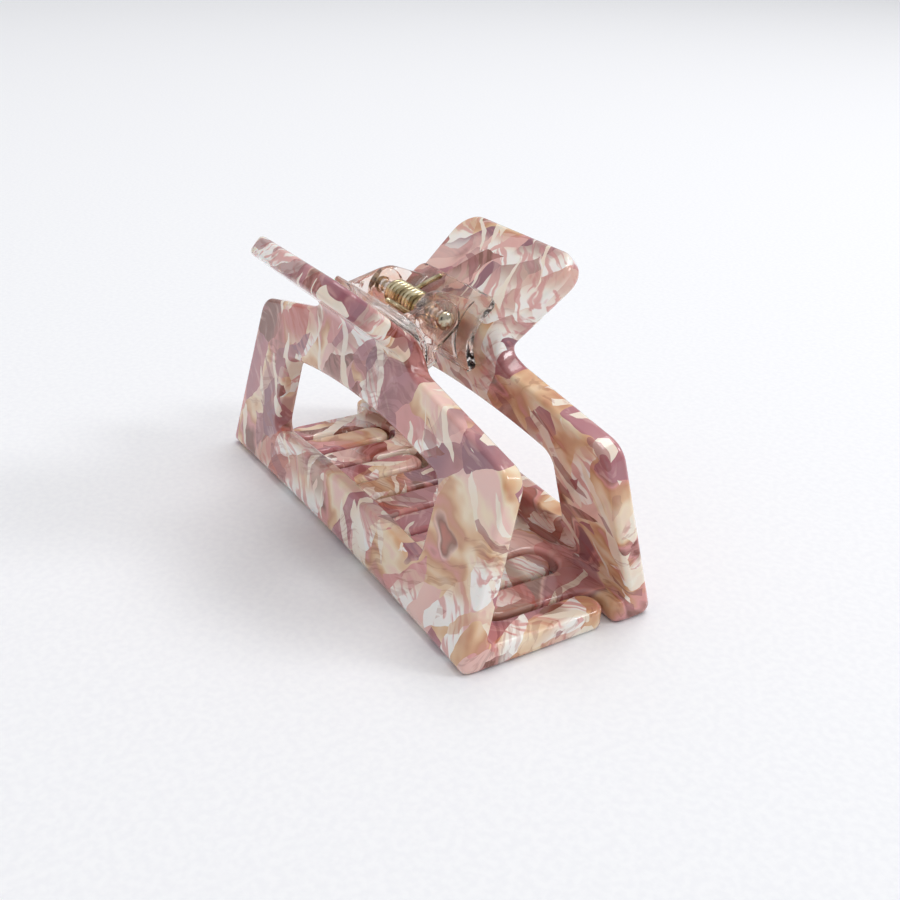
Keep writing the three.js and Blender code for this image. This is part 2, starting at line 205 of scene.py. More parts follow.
class SheetBend:
    """Bends flat sheet to a jaw: floor with teeth, foot, leaning frame, fold and handle.

    A flat point is (x, along, depth): along runs from the teeth's tips over the outside of the foot and up to
    the handle's tip, and depth goes from the outer face of the sheet, 0, to the inner face.
    """

    def __init__(self, section: JawSection, side: Side) -> None:
        """Works out where each straight stretch and each bend starts.

        Args:
            section: Sizes of the bent section.
            side: The jaw that is being made.
        """
        self.section = section
        self.side = side
        rise = np.array(section.fold) - np.array([section.foot_out, 0.0])
        self.lean = math.atan2(rise[1], rise[0])
        frame_length = float(np.hypot(*rise))
        inner_reach = section.sheet / math.tan((math.pi - self.lean) / 2)
        self.foot_reach = inner_reach + section.foot_inner_radius * math.tan(self.lean / 2)
        self.fold_turn = self.lean - section.handle_tilt
        fold_reach = section.fold_radius * math.tan(self.fold_turn / 2)
        self.fold_middle = section.fold_radius + section.sheet / 2
        self.floor_end = section.tooth_reach + section.foot_out - self.foot_reach
        middle_tangent = section.foot_radius_middle * math.tan(self.lean / 2)
        foot_run = 2 * (self.foot_reach - middle_tangent) + section.foot_radius_middle * self.lean
        self.foot_end = self.floor_end + foot_run
        self.fold_start = self.foot_end + frame_length - self.foot_reach - fold_reach
        self.fold_end = self.fold_start + self.fold_turn * self.fold_middle
        self.tip = self.fold_end + section.handle_length - fold_reach

    def up_frame(self, distance: float) -> float:
        """Place along the sheet of a point this far up the frame from the foot's corner."""
        return self.foot_end + distance - self.foot_reach

    def carry(self, flat: np.ndarray) -> np.ndarray:
        """Places of flat points.

        The outer and the inner face are each the sum of the runs covered so far: straight along the floor, an
        arc round the foot, straight up the frame, an arc of the opposite turn at the fold, straight up the
        handle. A point at some depth lies on the straight line between the two faces.

        Args:
            flat: Rows of (x, along, depth).

        Returns:
            Rows of (x, y, z).
        """
        s = self.section
        x, along, depth = flat.T
        floor = np.minimum(along, self.floor_end)
        share = np.clip((along - self.floor_end) / (self.foot_end - self.floor_end), 0, 1)
        climb = np.clip(along - self.foot_end, 0, self.fold_start - self.foot_end)
        turned = np.clip((along - self.fold_start) / self.fold_middle, 0, self.fold_turn)
        handle = np.maximum(along - self.fold_end, 0)

        bow = 1 - np.minimum(np.abs(x) / s.half_length, 1) ** 2
        radius = s.foot_radius_ends + (s.foot_radius_middle - s.foot_radius_ends) * bow
        straight = self.foot_reach - radius * math.tan(self.lean / 2)
        run = share * (2 * straight + radius * self.lean)
        before = np.clip(run, 0, straight)
        angle = np.clip((run - straight) / radius, 0, self.lean)
        after = np.clip(run - straight - radius * self.lean, 0, straight)
        outer_foot = [
            before + radius * np.sin(angle) + after * math.cos(self.lean),
            radius * (1 - np.cos(angle)) + after * math.sin(self.lean),
        ]
        inner_angle = share * self.lean
        inner_foot = [
            s.foot_inner_radius * np.sin(inner_angle),
            s.sheet + s.foot_inner_radius * (1 - np.cos(inner_angle)),
        ]
        fold_arc = [
            math.sin(self.lean) - np.sin(self.lean - turned),
            np.cos(self.lean - turned) - math.cos(self.lean),
        ]
        straight_out = -s.tooth_reach + floor + climb * math.cos(self.lean) + handle * math.cos(s.handle_tilt)
        straight_up = climb * math.sin(self.lean) + handle * math.sin(s.handle_tilt)
        outer = (straight_out + outer_foot[0] + s.fold_radius * fold_arc[0],
                 straight_up + outer_foot[1] + s.fold_radius * fold_arc[1])
        inner_radius = s.fold_radius + s.sheet
        inner = (straight_out + inner_foot[0] + inner_radius * fold_arc[0],
                 straight_up + inner_foot[1] + inner_radius * fold_arc[1])
        mix = depth / s.sheet
        out = outer[0] + (inner[0] - outer[0]) * mix
        z = outer[1] + (inner[1] - outer[1]) * mix
        return np.stack([x, self.side.value * out, z], axis=1)


@dataclass(frozen=True)
class Upright:
    """Stands a flat piece up across the pin: a flat point is (out, z, x)."""

    side: Side

    def carry(self, flat: np.ndarray) -> np.ndarray:
        """Places of flat points."""
        return np.stack([flat[:, 2], self.side.value * flat[:, 0], flat[:, 1]], axis=1)


# ---------------------------------------------------------------------------- making meshes


def mesh_object(name: str, places: np.ndarray, faces: list[np.ndarray]) -> bpy.types.Object:
    """A new object at the origin with one smooth mesh.

    Args:
        name: The piece's name.
        places: Vertex places in millimetres.
        faces: Arrays of faces, each with one row of vertex numbers per face.

    Returns:
        The object, linked to the scene.
    """
    mesh = bpy.data.meshes.new(name)
    mesh.from_pydata((places * MM).tolist(), [], [row for block in faces for row in block.tolist()])
    mesh.validate()
    mesh.shade_smooth()
    made = bpy.data.objects.new(name, mesh)
    bpy.context.scene.collection.objects.link(made)
    return made


def set_vector_attribute(made: bpy.types.Object, name: str, values: np.ndarray) -> None:
    """Stores one vector per vertex on a mesh, for its material to read.

    Args:
        made: The piece.
        name: Name of the attribute.
        values: One row per vertex.
    """
    attribute = made.data.attributes.new(name, "FLOAT_VECTOR", "POINT")
    attribute.data.foreach_set("vector", values.astype(np.float32).ravel())


@dataclass(frozen=True)
class Plate:
    """A flat cut-out with softened edges, which a carrier takes to its place.

    Attributes:
        outline: Closed outer loop, anticlockwise.
        holes: Closed loops of holes, clockwise.
        low: Depth of the first face.
        high: Depth of the second face.
        edge: Radius of the softened edges.
        filling: Points on the faces, for bends to follow.
    """

    outline: np.ndarray
    holes: tuple[np.ndarray, ...]
    low: float
    high: float
    edge: float
    filling: np.ndarray = field(default_factory=lambda: np.zeros((0, 2)))
    arc_steps: int = 5

    def edge_profile(self) -> np.ndarray:
        """Rows of (inset, depth, sideways part, depth part of the normal): two quarter circles."""
        quarter = np.linspace(0, math.pi / 2, self.arc_steps + 1)
        angle = np.concatenate([quarter - math.pi / 2, quarter])
        rising = np.repeat([0, 1], self.arc_steps + 1)
        depth = np.where(rising == 0, self.low + self.edge, self.high - self.edge) + self.edge * np.sin(angle)
        return np.stack([self.edge * (1 - np.cos(angle)), depth, np.cos(angle), np.sin(angle)], axis=1)

    def face_triangles(self, rims: list[np.ndarray]) -> tuple[np.ndarray, np.ndarray]:
        """Triangles over the flat faces, between the rims of the softened edges.

        Args:
            rims: The outline's rim and then each hole's rim.

        Returns:
            The points, rims first, and rows of three point numbers that run anticlockwise.
        """
        kept = self.filling
        if len(kept):
            keep = inside(kept, rims[0])
            for rim in rims[1:]:
                keep &= ~inside(kept, rim)
            kept = kept[keep]
            gap = np.min([np.linalg.norm(kept[:, None] - rim[None], axis=2).min(1) for rim in rims], axis=0)
            kept = kept[gap > 0.3]
        points = np.vstack([*rims, kept])
        starts = np.cumsum([0] + [len(rim) for rim in rims])
        sides = [
            np.stack([start + np.arange(len(rim)), start + (np.arange(len(rim)) + 1) % len(rim)], axis=1)
            for start, rim in zip(starts, rims)
        ]
        found = delaunay_2d_cdt(
            [Vector(p) for p in points.tolist()], np.vstack(sides).tolist(), [], 0, 1e-6)
        source = np.array([ids[0] if ids else -1 for ids in found[3]])
        triangles = source[np.array([face for face in found[2] if len(face) == 3])]
        middle = points[triangles].mean(1)
        keep = (triangles >= 0).all(1) & inside(middle, rims[0])
        for rim in rims[1:]:
            keep &= ~inside(middle, rim)
        triangles = triangles[keep]
        a, b, c = points[triangles[:, 0]], points[triangles[:, 1]], points[triangles[:, 2]]
        area = (b[:, 0] - a[:, 0]) * (c[:, 1] - a[:, 1]) - (b[:, 1] - a[:, 1]) * (c[:, 0] - a[:, 0])
        triangles[area < 0] = triangles[area < 0][:, ::-1]
        return points, triangles

    def make(self, name: str, carrier: Carrier, pattern: str = "") -> bpy.types.Object:
        """Builds the plate and carries it to its place, with exact normals.

        Each loop gives a strip: its points moved inward by the profile's inset, at the profile's depth. A
        normal is the flat one taken through the inverse transpose of the carrier's derivative.

        Args:
            name: The piece's name.
            carrier: What bends or stands the flat plate.
            pattern: Name of an attribute for the flat places, or nothing.

        Returns:
            The finished object.
        """
        profile = self.edge_profile()
        rows = len(profile)
        loops = [self.outline, *self.holes]
        flat, normals, faces, rims_low, rims_high = [], [], [], [], []
        start = 0
        for loop in loops:
            count = len(loop)
            way = outward(loop)
            spot = loop[None] - way[None] * profile[:, None, :1]
            depth = np.broadcast_to(profile[:, None, 1:2], (rows, count, 1))
            flat.append(np.concatenate([spot, depth], axis=2).reshape(-1, 3))
            side = way[None] * profile[:, None, 2:3]
            normals.append(np.concatenate(
                [side, np.broadcast_to(profile[:, None, 3:4], (rows, count, 1))], axis=2).reshape(-1, 3))
            i = np.arange(count)
            k = np.arange(rows - 1)[:, None]
            here, there = start + k * count + i, start + k * count + (i + 1) % count
            faces.append(np.stack([here, there, there + count, here + count], axis=2).reshape(-1, 4))
            rims_low.append(start + i)
            rims_high.append(start + (rows - 1) * count + i)
            start += rows * count
        rim_places = [loop - outward(loop) * self.edge for loop in loops]
        points, triangles = self.face_triangles(rim_places)
        inner = points[sum(len(rim) for rim in rim_places):]
        for rims, depth, turn in ((rims_low, self.low, -1), (rims_high, self.high, 1)):
            number = np.concatenate([*rims, start + np.arange(len(inner))])
            faces.append(number[triangles][:, ::turn])
            flat.append(np.column_stack([inner, np.full(len(inner), depth)]))
            normals.append(np.tile([0.0, 0.0, float(turn)], (len(inner), 1)))
            start += len(inner)
        flat_places, flat_normals = np.vstack(flat), np.vstack(normals)
        places = carrier.carry(flat_places)
        step = 1e-3
        slopes = np.stack([
            (carrier.carry(flat_places + way * step) - carrier.carry(flat_places - way * step)) / (2 * step)
            for way in np.eye(3)], axis=2)
        turned = np.einsum("nji,nj->ni", np.linalg.inv(slopes), flat_normals)
        turned /= np.linalg.norm(turned, axis=1, keepdims=True)
        if np.median(np.linalg.det(slopes)) < 0:
            faces = [block[:, ::-1] for block in faces]
        made = mesh_object(name, places, faces)
        made.data.normals_split_custom_set_from_vertices(turned.tolist())
        if pattern:
            set_vector_attribute(made, pattern, flat_places * MM)
        return made


def ringed(name: str, rings: np.ndarray, poles: np.ndarray, turn: int) -> bpy.types.Object:
    """A closed piece skinned over a row of rings, with a single point at either end.

    Args:
        name: The piece's name.
        rings: Places of the rings' points: ring, point, coordinate.
        poles: Places of the first and the last point.
        turn: 1 to keep the order of a face's corners, -1 to turn it round.

    Returns:
        The finished object.
    """
    count, sides = rings.shape[:2]
    i = np.arange(sides)
    after = (i + 1) % sides
    k = np.arange(count - 1)[:, None]
    quads = np.stack([k * sides + i, k * sides + after, (k + 1) * sides + after, (k + 1) * sides + i], axis=2)
    end = (count - 1) * sides
    faces = [
        quads.reshape(-1, 4)[:, ::turn],
        np.stack([np.full(sides, count * sides), after, i], axis=1)[:, ::turn],
        np.stack([np.full(sides, count * sides + 1), end + i, end + after], axis=1)[:, ::turn],
    ]
    return mesh_object(name, np.vstack([rings.reshape(-1, 3), poles]), faces)


def revolved(name: str, profile: np.ndarray, height: float, sides: int = 64) -> bpy.types.Object:
    """A turned piece about the hinge's axis: each profile point (radius, x) becomes a ring round that axis.

    Args:
        name: The piece's name.
        profile: Rows of (radius, x). The first and the last lie on the axis and become single points.
        height: Height of the axis.
        sides: Points in a ring.

    Returns:
        The finished object.
    """
    angle = np.linspace(0, 2 * math.pi, sides, endpoint=False)
    radius, x = profile[1:-1, :1], profile[1:-1, 1:2]
    rings = np.stack([
        np.broadcast_to(x, (len(x), sides)), radius * np.cos(angle), height + radius * np.sin(angle)], axis=2)
    poles = np.array([[profile[0, 1], 0, height], [profile[-1, 1], 0, height]])
    return ringed(name, rings, poles, -1)


def tube(name: str, path: np.ndarray, radius: float, sides: int = 18) -> bpy.types.Object:
    """A round wire along a path, closed by rounded ends.

    At each point the ring lies square to the path. Its first axis is the X axis with its share along the path
    taken out, so the rings never twist over.

    Args:
        name: The piece's name.
        path: Points of the wire's centre line.
        radius: Radius of the wire.
        sides: Points in a ring.

    Returns:
        The finished object.
    """
    along = np.gradient(path, axis=0)
    along /= np.linalg.norm(along, axis=1, keepdims=True)
    across = np.array([1.0, 0.0, 0.0]) - along * along[:, :1]
    across /= np.linalg.norm(across, axis=1, keepdims=True)
    third = np.cross(along, across)
    bulge = np.linspace(math.pi / 2, 0, 6)[1:-1]
    spots = np.concatenate([
        path[0] - along[0] * radius * np.sin(bulge)[:, None], path,
        path[-1] + along[-1] * radius * np.sin(bulge[::-1])[:, None]])
    size = np.concatenate([np.cos(bulge), np.ones(len(path)), np.cos(bulge[::-1])]) * radius
    pad = ((len(bulge), len(bulge)), (0, 0))
    across, third = np.pad(across, pad, "edge")[:, None], np.pad(third, pad, "edge")[:, None]
    angle = np.linspace(0, 2 * math.pi, sides, endpoint=False)[None, :, None]
    rings = spots[:, None] + size[:, None, None] * (across * np.cos(angle) + third * np.sin(angle))
    poles = np.array([path[0] - along[0] * radius, path[-1] + along[-1] * radius])
    return ringed(name, rings, poles, 1)


def joined(name: str, parts: list[bpy.types.Object], sharp: float = 32.0) -> bpy.types.Object:
    """One closed body from overlapping parts, with large faces kept flat in its shading.

    Args:
        name: Name of the joined piece.
        parts: The parts; they are used up.
        sharp: Angle in degrees above which an edge stays crisp.

    Returns:
        The finished object.
    """
    host = parts[0]
    for part in parts[1:]:
        union = host.modifiers.new("union", "BOOLEAN")
        union.operation, union.solver, union.object = "UNION", "EXACT", part
    weighted = host.modifiers.new("weighted", "WEIGHTED_NORMAL")
    weighted.keep_sharp = True
    bpy.context.view_layer.update()
    mesh = bpy.data.meshes.new_from_object(host.evaluated_get(bpy.context.evaluated_depsgraph_get()))
    mesh.name = name
    for part in parts:
        bpy.data.objects.remove(part)
    made = bpy.data.objects.new(name, mesh)
    bpy.context.scene.collection.objects.link(made)
    mesh.set_sharp_from_angle(angle=math.radians(sharp))
    return made


# ---------------------------------------------------------------------------- finishes


def tone(red: int, green: int, blue: int) -> tuple[float, float, float, float]:
    """A colour as shaders take it, from the usual 0 to 255 scale."""
    share = np.array([red, green, blue]) / 255
    linear = np.where(share <= 0.04045, share / 12.92, ((share + 0.055) / 1.055) ** 2.4)
    return (*linear.tolist(), 1.0)


class NodeSheet:
    """A material's node tree with short ways to add and wire its nodes."""

    def __init__(self, name: str) -> None:
        """Starts a material with a Principled shader wired to its output."""
        self.material = bpy.data.materials.new(name)
        self.material.use_nodes = True
        self.tree = self.material.node_tree
        self.tree.nodes.clear()
        self.shader = self.tree.nodes.new("ShaderNodeBsdfPrincipled")
        out = self.tree.nodes.new("ShaderNodeOutputMaterial")
        self.tree.links.new(self.shader.outputs[0], out.inputs["Surface"])

    def node(self, kind: str, inputs: dict | None = None, **settings: object) -> bpy.types.Node:
        """Adds a node.

        Args:
            kind: The node's type, without its leading "ShaderNode".
            inputs: Values or sockets for its inputs, by name or number.
            **settings: The node's own settings.

        Returns:
            The new node.
        """
        made = self.tree.nodes.new("ShaderNode" + kind)
        for key, value in settings.items():
            setattr(made, key, value)
        for key, value in (inputs or {}).items():
            self.feed(made.inputs[key], value)
        return made

    def feed(self, socket: bpy.types.NodeSocket, value: object) -> None:
        """Wires a socket to another, or sets its value."""
        if isinstance(value, bpy.types.NodeSocket):
            self.tree.links.new(value, socket)
        else:
            socket.default_value = value

    def set(self, name: str, value: object) -> None:
        """Wires or sets one of the shader's own inputs."""
        self.feed(self.shader.inputs[name], value)

    def math(self, operation: str, a: object, b: object = 0.0) -> bpy.types.NodeSocket:
        """Result of a Math node on one or two numbers."""
        return self.node("Math", {0: a, 1: b}, operation=operation).outputs[0]

    def vector(self, operation: str, a: object, b: object) -> bpy.types.NodeSocket:
        """Result of a Vector Math node on two vectors."""
        return self.node("VectorMath", {0: a, 1: b}, operation=operation).outputs[0]

    def noise(self, at: bpy.types.NodeSocket, scale: float, detail: float = 2.0,
              roughness: float = 0.5, distortion: float = 0.0) -> bpy.types.Node:
        """A Noise texture on given coordinates."""
        return self.node("TexNoise", {"Vector": at, "Scale": scale, "Detail": detail,
                                      "Roughness": roughness, "Distortion": distortion})

    def turned(self, at: bpy.types.NodeSocket, turn: float, scale: tuple[float, float, float],
               shift: tuple[float, float, float] = (0, 0, 0)) -> bpy.types.NodeSocket:
        """Coordinates turned in the sheet's plane by some degrees and then scaled."""
        spun = self.node("Mapping", {"Vector": at, "Location": shift,
                                     "Rotation": (0.0, 0.0, math.radians(turn))}).outputs[0]
        return self.vector("MULTIPLY", spun, scale)

    def ramp(self, value: bpy.types.NodeSocket, stops: list[tuple[float, tuple]],
             steps: bool = False) -> bpy.types.NodeSocket:
        """A colour ramp.

        Args:
            value: What drives the ramp.
            stops: Pairs of place and colour.
            steps: Whether each colour is held up to the next stop.

        Returns:
            The ramp's colour.
        """
        made = self.node("ValToRGB", {0: value})
        made.color_ramp.interpolation = "CONSTANT" if steps else "LINEAR"
        elements = made.color_ramp.elements
        while len(elements) < len(stops):
            elements.new(0.5)
        for element, (place, colour) in zip(elements, stops):
            element.position = place
            element.color = colour
        return made.outputs[0]

    def blend(self, share: object, below: object, above: object, way: str = "MIX") -> bpy.types.NodeSocket:
        """Two colours mixed by a share."""
        made = self.node("Mix", data_type="RGBA", blend_type=way)
        self.feed(made.inputs[0], share)
        self.feed(made.inputs[6], below)
        self.feed(made.inputs[7], above)
        return made.outputs[2]

    def spread(self, value: object, low: float, high: float, to_low: float = 0.0,
               to_high: float = 1.0) -> bpy.types.NodeSocket:
        """A value's span from low to high, smoothly taken to another span."""
        made = self.node("MapRange", {0: value, 1: low, 2: high, 3: to_low, 4: to_high},
                         interpolation_type="SMOOTHSTEP")
        return made.outputs[0]

    def bump(self, height: bpy.types.NodeSocket, depth: float) -> bpy.types.NodeSocket:
        """Normals for a height pattern whose full depth is given in metres."""
        return self.node("Bump", {"Height": height, "Strength": 1.0, "Distance": depth}).outputs[0]


SHEET_PLACE = "sheet_place"
SHEET_CUTS = {Side.NEAR: (212.0, -64.0, 31.0), Side.FAR: (-61.0, 118.0, 23.0)}


@dataclass(frozen=True)
class ChipLayer:
    """One layer of chips: cells of a Voronoi pattern turned and stretched on the sheet.

    Attributes:
        turn: Turn of the layer in degrees.
        scale: Cells per millimetre along each axis.
        level: A chip shows where its random number passes this.
        softness: How far neighbouring chips melt into each other.
    """

    turn: float
    scale: tuple[float, float, float]
    level: float
    softness: float = 0.0


class Chips:
    """A chip layer's nodes in a material."""

    def __init__(self, n: NodeSheet, at: bpy.types.NodeSocket, layer: ChipLayer) -> None:
        """Adds the layer's cells and splits their three random numbers.

        Args:
            n: The material's node sheet.
            at: Coordinates on the sheet.
            layer: The layer's sizes.
        """
        self.n, self.layer = n, layer
        self.place = n.turned(at, layer.turn, layer.scale)
        self.cells = n.node("TexVoronoi", {"Vector": self.place, "Scale": 1.0, "Randomness": 1.0},
                            feature="SMOOTH_F1" if layer.softness else "F1")
        if layer.softness:
            self.cells.inputs["Smoothness"].default_value = layer.softness
        self.random = list(n.node("SeparateColor", {0: self.cells.outputs["Color"]}).outputs)

    def fade(self, low: float, high: float) -> bpy.types.NodeSocket:
        """How far a point lies toward one side of its chip, from 0 to 1."""
        n = self.n
        from_middle = n.vector("SUBTRACT", self.place, self.cells.outputs["Position"])
        across = n.node("VectorMath", {0: from_middle, 1: (0.8, 0.6, 0.3)}, operation="DOT_PRODUCT")
        return n.spread(across.outputs["Value"], low, high)

    def over(self, below: bpy.types.NodeSocket, colour: object, strength: object = 1.0,
             edge: float = 0.0) -> bpy.types.NodeSocket:
        """Lays the layer over another colour.

        Args:
            below: The colour so far.
            colour: The chips' colour.
            strength: How much of it shows.
            edge: Half the span of random numbers over which a chip fades in.

        Returns:
            The new colour.
        """
        n, level = self.n, self.layer.level
        if edge:
            shown = n.spread(self.random[1], level - edge, level + edge)
        else:
            shown = n.math("GREATER_THAN", self.random[1], level)
        return n.blend(n.math("MULTIPLY", shown, strength), below, colour)


@dataclass(frozen=True)
class Acetate:
    """Polished cellulose acetate: chips of several tints pressed into one sheet."""

    roughness: float = 0.16
    coat: float = 0.6
    coat_roughness: float = 0.03
    index: float = 1.49
    glow: float = 0.35
    glow_depth: float = 0.0025
    ripple_depth: float = 0.00018
    mauve: tuple = tone(182, 120, 128)
    lilac: tuple = tone(152, 100, 112)
    dusty_pink: tuple = tone(220, 154, 150)
    blush: tuple = tone(240, 202, 192)
    coral: tuple = tone(196, 106, 92)
    rust: tuple = tone(140, 64, 50)
    caramel: tuple = tone(206, 150, 114)
    honey: tuple = tone(229, 190, 150)
    cream: tuple = tone(244, 226, 198)
    pearl: tuple = tone(254, 250, 244)
    brown: tuple = tone(136, 82, 66)
    shade: tuple = tone(196, 156, 150)
    deep_chips: ChipLayer = ChipLayer(-12.0, (0.085, 0.07, 0.1), 0.5, softness=0.28)
    flat_chips: ChipLayer = ChipLayer(20.0, (0.13, 0.1, 0.11), 0.6)
    pearly_chips: ChipLayer = ChipLayer(-52.0, (0.1, 0.2, 0.16), 0.64)
    dark_chips: ChipLayer = ChipLayer(-34.0, (0.08, 0.21, 0.16), 0.76)
    ribbons: ChipLayer = ChipLayer(58.0, (0.1, 0.6, 0.3), 0.88)
    splinters: ChipLayer = ChipLayer(22.0, (0.16, 0.5, 0.3), 0.93)
    streaked_share: float = 0.68

    def swirled(self, n: NodeSheet, flat: bpy.types.NodeSocket) -> bpy.types.NodeSocket:
        """Flat coordinates moved aside by a broad and a fine noise, each centred on nothing."""
        moved = flat
        for scale, reach in ((0.06, (12.0, 12.0, 6.0)), (0.35, (1.4, 1.4, 1.0))):
            shift = n.vector("SUBTRACT", n.noise(flat, scale, 1.0).outputs["Color"], (0.5, 0.5, 0.5))
            moved = n.vector("ADD", moved, n.vector("MULTIPLY", shift, reach))
        return moved

    def colour(self, n: NodeSheet, at: bpy.types.NodeSocket,
               haze: bpy.types.NodeSocket) -> bpy.types.NodeSocket:
        """The sheet's colour, built up from its depth.

        The ground is a soft cloud of amber, blush and cream. Over it lie wide chips with soft edges, which
        are deep in the sheet. Then come flat chips, pearly chips crossed by soft strands, long dark chips
        and short pale ribbons, all cut sharp by the surface. A chip fades toward one side, as it does when
        it dives into the sheet. A few chips are streaked.

        Args:
            n: The material's node sheet.
            at: Swirled coordinates on the sheet.
            haze: A soft cloud over the whole sheet.

        Returns:
            The colour.
        """
        cloud_at = n.turned(at, 10.0, (1.0, 1.5, 1.0), (31.0, 7.0, 3.0))
        cloud = n.noise(cloud_at, 0.1, 2.0, 0.45).outputs["Fac"]
        strand = n.noise(n.turned(at, 34.0, (0.12, 0.8, 0.5)), 1.0, 2.0, 0.5, 0.4).outputs["Fac"]
        body = n.ramp(cloud, [(0.3, self.brown), (0.37, self.dusty_pink), (0.44, self.caramel),
                              (0.5, self.honey), (0.57, self.cream), (0.66, self.blush)])

        deep = Chips(n, at, self.deep_chips)
        tint = n.ramp(deep.random[0], [(0.2, self.lilac), (0.34, self.dusty_pink), (0.46, self.mauve),
                                       (0.6, self.blush), (0.74, self.brown), (0.84, self.coral)])
        body = deep.over(body, tint, 0.9, edge=0.1)

        flat = Chips(n, at, self.flat_chips)
        tint = n.ramp(flat.random[0], [(0.0, self.mauve), (0.34, self.blush), (0.5, self.dusty_pink),
                                       (0.74, self.lilac), (0.9, self.brown)], steps=True)
        tint = n.blend(n.math("MULTIPLY", flat.fade(-0.1, 0.6), 0.5), tint, self.dusty_pink)
        tint = n.blend(n.spread(strand, 0.52, 0.7, 0.0, 0.35), tint, self.blush)
        tint = n.blend(n.spread(haze, 0.52, 0.75, 0.0, 0.4), tint, self.brown)
        body = flat.over(body, tint)

        pearly = Chips(n, at, self.pearly_chips)
        fade = pearly.fade(-0.3, 0.4)
        tint = n.blend(fade, self.pearl, self.cream)
        tint = n.blend(n.spread(strand, 0.5, 0.6, 0.0, 0.8), tint, self.dusty_pink)
        body = pearly.over(body, tint, n.spread(fade, 0.0, 1.0, 1.0, 0.35))

        dark = Chips(n, at, self.dark_chips)
        tint = n.ramp(dark.random[0], [(0.0, self.rust), (0.22, self.mauve), (0.48, self.coral),
                                       (0.62, self.lilac), (0.84, self.brown)], steps=True)
        tint = n.blend(n.spread(strand, 0.42, 0.6, 0.0, 0.5), tint, self.dusty_pink)
        body = dark.over(body, tint, n.spread(dark.fade(-0.3, 0.4), 0.0, 1.0, 0.3, 1.0))

        body = Chips(n, at, self.ribbons).over(body, n.blend(haze, self.pearl, self.cream), 0.9)
        body = Chips(n, at, self.splinters).over(body, n.blend(haze, self.rust, self.mauve), 0.7)
        streak = n.noise(n.turned(at, -20.0, (0.12, 1.3, 0.6)), 1.0, 2.0, 0.5).outputs["Fac"]
        streaked = n.math("GREATER_THAN", flat.random[2], self.streaked_share)
        streaks = n.math("MULTIPLY", n.spread(streak, 0.5, 0.62, 0.0, 0.45), streaked)
        return n.blend(streaks, body, self.shade, "MULTIPLY")

    def material(self, name: str, shift: tuple[float, float, float]) -> bpy.types.Material:
        """Builds the finish.

        Args:
            name: The material's name.
            shift: Where in the block this sheet was cut, in millimetres.

        Returns:
            The material.
        """
        n = NodeSheet(name)
        place = n.node("Attribute", attribute_name=SHEET_PLACE).outputs["Vector"]
        per_metre = (1 / MM, 1 / MM, 1 / MM)
        flat = n.node("Mapping", {"Vector": place, "Scale": per_metre, "Location": shift}).outputs[0]
        at = self.swirled(n, flat)
        haze_at = n.turned(at, -25.0, (1.0, 1.0, 1.0), (3.0, 57.0, 9.0))
        haze = n.noise(haze_at, 0.16, 2.0, 0.5).outputs["Fac"]
        n.set("Base Color", self.colour(n, at, haze))
        n.set("Roughness", n.spread(haze, 0.2, 0.8, self.roughness - 0.05, self.roughness + 0.05))
        n.set("Subsurface Weight", self.glow)
        n.set("Subsurface Radius", (1.0, 0.6, 0.5))
        n.set("Subsurface Scale", self.glow_depth)
        n.set("Coat Weight", self.coat)
        n.set("Coat Roughness", self.coat_roughness)
        n.set("IOR", self.index)
        ripple = n.noise(flat, 0.12, 2.0).outputs["Fac"]
        n.set("Normal", n.bump(ripple, self.ripple_depth))
        n.set("Coat Normal", n.bump(ripple, self.ripple_depth))
        return n.material


@dataclass(frozen=True)
class ClearPlastic:
    """Clear moulded plastic with a faint peach tint, flow lines and small sink marks."""

    tint: tuple = tone(255, 248, 243)
    cloudy: tuple = tone(255, 232, 220)
    roughness: float = 0.03
    index: float = 1.16
    coat: float = 1.0

    def material(self, name: str) -> bpy.types.Material:
        """Builds the finish on object coordinates."""
        n = NodeSheet(name)
        place = n.node("TexCoord").outputs["Object"]
        flow = n.noise(n.turned(place, 0.0, (220.0, 620.0, 420.0)), 1.0, 2.0, 0.5, 0.6).outputs["Fac"]
        sinks = n.noise(n.turned(place, 0.0, (160.0, 160.0, 160.0)), 1.0, 1.0).outputs["Fac"]
        n.set("Base Color", n.blend(n.spread(flow, 0.35, 0.7), self.tint, self.cloudy))
        n.set("Roughness", n.spread(flow, 0.3, 0.8, self.roughness, self.roughness + 0.07))
        n.set("Transmission Weight", 1.0)
        n.set("Coat Weight", self.coat)
        n.set("Coat Roughness", self.roughness)
        n.set("IOR", self.index)
        height = n.math("ADD", flow, sinks)
        n.set("Normal", n.bump(height, 0.00012))
        return n.material


@dataclass(frozen=True)
class Metal:
    """Plated metal, darker where it is tarnished, with fine drawing lines."""

    bright: tuple
    dull: tuple
    roughness: float
    line_scale: tuple[float, float, float]

    def material(self, name: str) -> bpy.types.Material:
        """Builds the finish on object coordinates."""
        n = NodeSheet(name)
        place = n.node("TexCoord").outputs["Object"]
        lines = n.noise(n.turned(place, 0.0, self.line_scale), 1.0, 3.0, 0.65).outputs["Fac"]
        stain = n.noise(n.turned(place, 0.0, (420.0, 420.0, 420.0)), 1.0, 2.0).outputs["Fac"]
        n.set("Base Color", n.blend(n.spread(stain, 0.38, 0.68), self.bright, self.dull))
        n.set("Roughness", n.spread(lines, 0.2, 0.8, self.roughness - 0.06, self.roughness + 0.08))
        n.set("Metallic", 1.0)
        n.set("Normal", n.bump(lines, 0.000015))
        return n.material


PIN_METAL = Metal(tone(214, 206, 188), tone(176, 162, 136), 0.14, (200.0, 2600.0, 2600.0))
SPRING_METAL = Metal(tone(226, 214, 180), tone(150, 130, 92), 0.2, (900.0, 900.0, 900.0))


